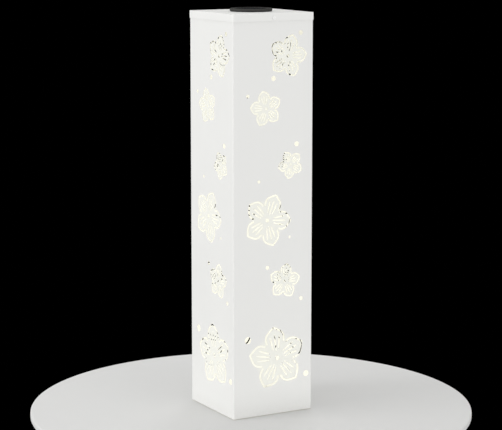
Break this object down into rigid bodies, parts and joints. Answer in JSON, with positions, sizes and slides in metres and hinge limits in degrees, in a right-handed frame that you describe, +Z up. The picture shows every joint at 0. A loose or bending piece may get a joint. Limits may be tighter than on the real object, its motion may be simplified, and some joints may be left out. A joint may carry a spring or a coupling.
{
  "type": "column lantern",
  "caption": "Square sheet-metal column lantern with flower cut-outs in its walls, a lift-off lid and a drop-in round solar lamp module.",
  "frame": {"origin": "on the floor, under the middle of the square column", "axes": "+Z up, -Y the front wall's outward side, +X to the right seen from the front"},
  "size_m": [0.1826, 0.1872, 0.8093],
  "materials": {
    "powder_coat": "smooth satin white powder coat on sheet steel",
    "rubber": "matt",
    "foam_rubber": "matt foam",
    "screw_steel": "bright zinc",
    "black_plastic": "fine-grained matt",
    "switch_plastic": "smooth",
    "solar_cell": "dark silicon wafer with thin printed lines",
    "clear_cover": "smooth, lightly smoked clear cover",
    "circuit_board": "green solder mask",
    "battery_sleeve": "shrink-wrapped sleeve with bare metal ends",
    "contact_metal": "nickel plated",
    "led_epoxy": "clear epoxy over warm white phosphor",
    "reflector": "vacuum metallised",
    "frosted_lens": "frosted, lit from inside"
  },
  "bodies": {
    "column": {"panel_front": "powder_coat", "panel_right": "powder_coat", "panel_back": "powder_coat", "panel_left": "powder_coat", "base_plate": "powder_coat", "rubber_foot_1": "rubber", "rubber_foot_2": "rubber", "rubber_foot_3": "rubber", "rubber_foot_4": "rubber"},
    "lid": {"lid": "powder_coat", "lid_screw_front": "powder_coat", "lid_screw_back": "powder_coat", "lid_nut_front": "screw_steel", "lid_nut_back": "screw_steel"},
    "lamp_module": {"module_gasket": "foam_rubber", "module_housing": "black_plastic", "solar_cell": "solar_cell", "clear_cover": "clear_cover", "circuit_board": "circuit_board", "battery": "battery_sleeve", "contact_spring": "contact_metal", "contact_plate_minus": "contact_metal", "contact_plate_plus": "contact_metal", "led": "led_epoxy", "reflector": "reflector", "lens": "frosted_lens", "bottom_cover": "black_plastic", "door_hinge_pin": "contact_metal", "switch_body": "black_plastic", "module_screw_1": "screw_steel", "module_screw_2": "screw_steel", "module_screw_3": "screw_steel"},
    "battery_door": {"battery_door": "black_plastic"},
    "switch_slider": {"switch_slider": "switch_plastic"}
  },
  "joints": [
    {"name": "lid_lift", "type": "slide", "parent": "column", "child": "lid", "axis": [0, 0, 1], "range_m": [0, 0.06]},
    {"name": "module_lift", "type": "slide", "parent": "lid", "child": "lamp_module", "axis": [0, 0, 1], "range_m": [0, 0.05]},
    {"name": "battery_door_swing", "type": "hinge", "parent": "lamp_module", "child": "battery_door", "pos_m": [0, -0.0019, 0.7748], "axis": [-1, 0, 0], "range_deg": [0, 95]},
    {"name": "switch_slide", "type": "slide", "parent": "lamp_module", "child": "switch_slider", "axis": [1, 0, 0], "range_m": [0, 0.003]}
  ]
}
